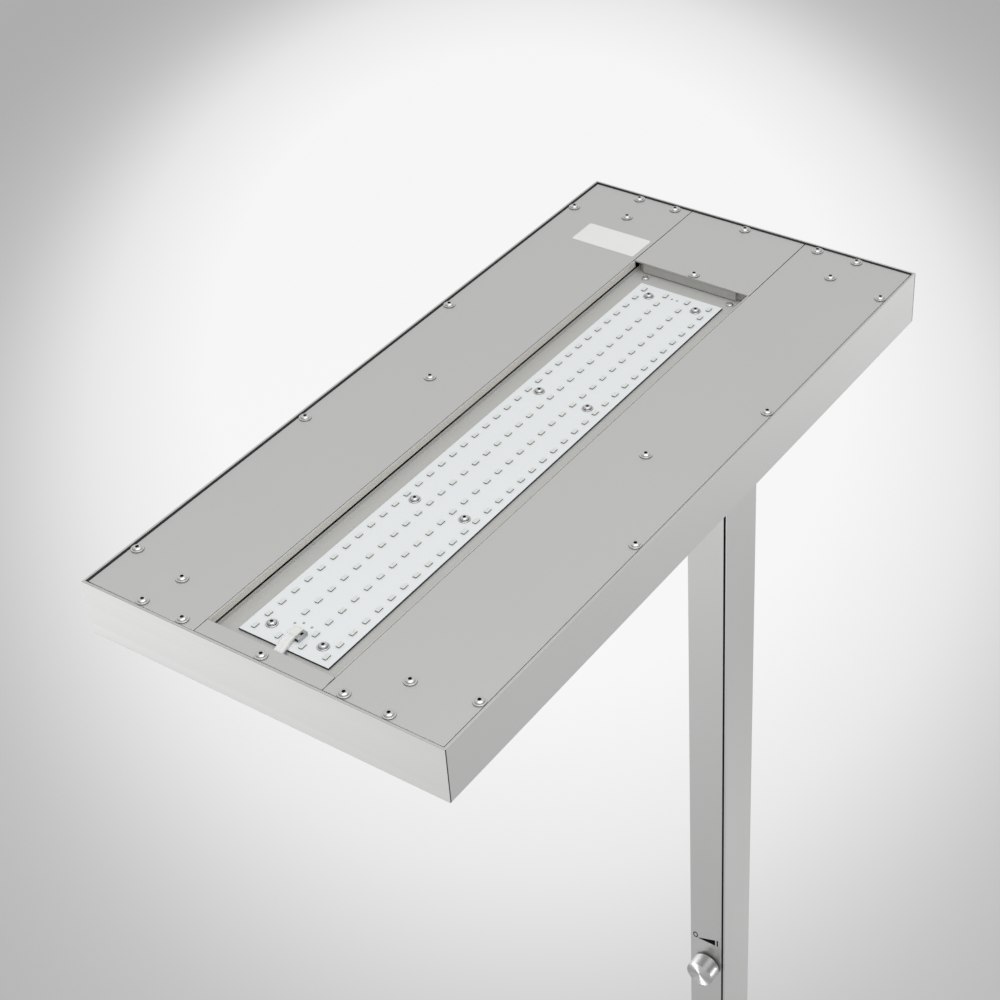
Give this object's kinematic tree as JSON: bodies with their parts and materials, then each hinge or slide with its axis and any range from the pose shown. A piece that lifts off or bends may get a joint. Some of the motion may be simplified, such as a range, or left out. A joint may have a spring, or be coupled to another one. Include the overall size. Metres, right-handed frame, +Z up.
{
  "type": "office floor lamp",
  "caption": "Floor lamp with a flat rectangular light head on a square column, a recessed uplight board, a rotary dimmer knob and a flat base plate.",
  "frame": {"origin": "on the floor, at the bottom centre of the bounding box, under the middle of the light head", "axes": "+Z up, -Y towards the user's side with the dimmer knob, +X to the user's right"},
  "size_m": [0.3, 0.62, 1.9512],
  "materials": {
    "anodised_aluminium": "satin natural anodised",
    "cast_aluminium": "as cast and machined",
    "knob_aluminium": "finely turned",
    "sheet_steel": "galvanised, light satin",
    "lining_lacquer": "satin off-white lacquer",
    "screw_steel": "bright zinc plated",
    "board_white": "white solder mask",
    "led_package": "white package with yellow phosphor",
    "connector_white": "moulded",
    "lead_white": "smooth flexible sheath",
    "opal_acrylic": "opal, satin",
    "clear_acrylic": "clear, polished",
    "white_film": "matte white",
    "driver_housing": "moulded white",
    "dimmer_black": "moulded black",
    "base_paint": "silver-grey powder coat",
    "black_rubber": "matte"
  },
  "bodies": {
    "lamp": {"frame_rail_left": "anodised_aluminium", "frame_rail_right": "anodised_aluminium", "frame_rail_front": "anodised_aluminium", "frame_rail_rear": "anodised_aluminium", "corner_brackets": "cast_aluminium", "cover_left": "anodised_aluminium", "cover_right": "anodised_aluminium", "front_cover_strip": "anodised_aluminium", "rear_cover": "anodised_aluminium", "cover_screws": "screw_steel", "recess_lining_left": "lining_lacquer", "recess_lining_right": "lining_lacquer", "recess_tray": "sheet_steel", "recess_end_wall": "lining_lacquer", "tray_screws": "screw_steel", "front_strap": "sheet_steel", "middle_strap": "sheet_steel", "rear_strap": "sheet_steel", "tray_support": "sheet_steel", "uplight_board": "board_white", "uplight_leds": "led_package", "board_connector": "connector_white", "board_lead": "lead_white", "board_screws": "screw_steel", "diffuser": "opal_acrylic", "light_guide": "clear_acrylic", "reflector_sheet": "white_film", "back_plate": "sheet_steel", "edge_boards": "board_white", "edge_leds": "led_package", "uplight_driver": "driver_housing", "downlight_driver": "driver_housing", "driver_screws": "screw_steel", "terminal_block": "connector_white", "rear_bottom_plate": "sheet_steel", "head_bracket": "cast_aluminium", "head_bolts": "screw_steel", "head_nuts": "screw_steel", "pole_profile": "anodised_aluminium", "pole_front_cover": "anodised_aluminium", "foot_block": "screw_steel", "pole_screws": "screw_steel", "cable_grommet": "black_rubber", "dimmer_body": "dimmer_black", "dimmer_nut": "screw_steel", "base_plate": "base_paint", "base_screws": "screw_steel", "base_feet": "black_rubber"},
    "knob": {"dimmer_shaft": "screw_steel", "dimmer_knob": "knob_aluminium", "knob_set_screw": "screw_steel"}
  },
  "joints": [
    {"name": "dimmer_turn", "type": "hinge", "parent": "lamp", "child": "knob", "pos_m": [0, 0.2425, 1.092], "axis": [0, 1, 0], "range_deg": [0, 270]}
  ]
}
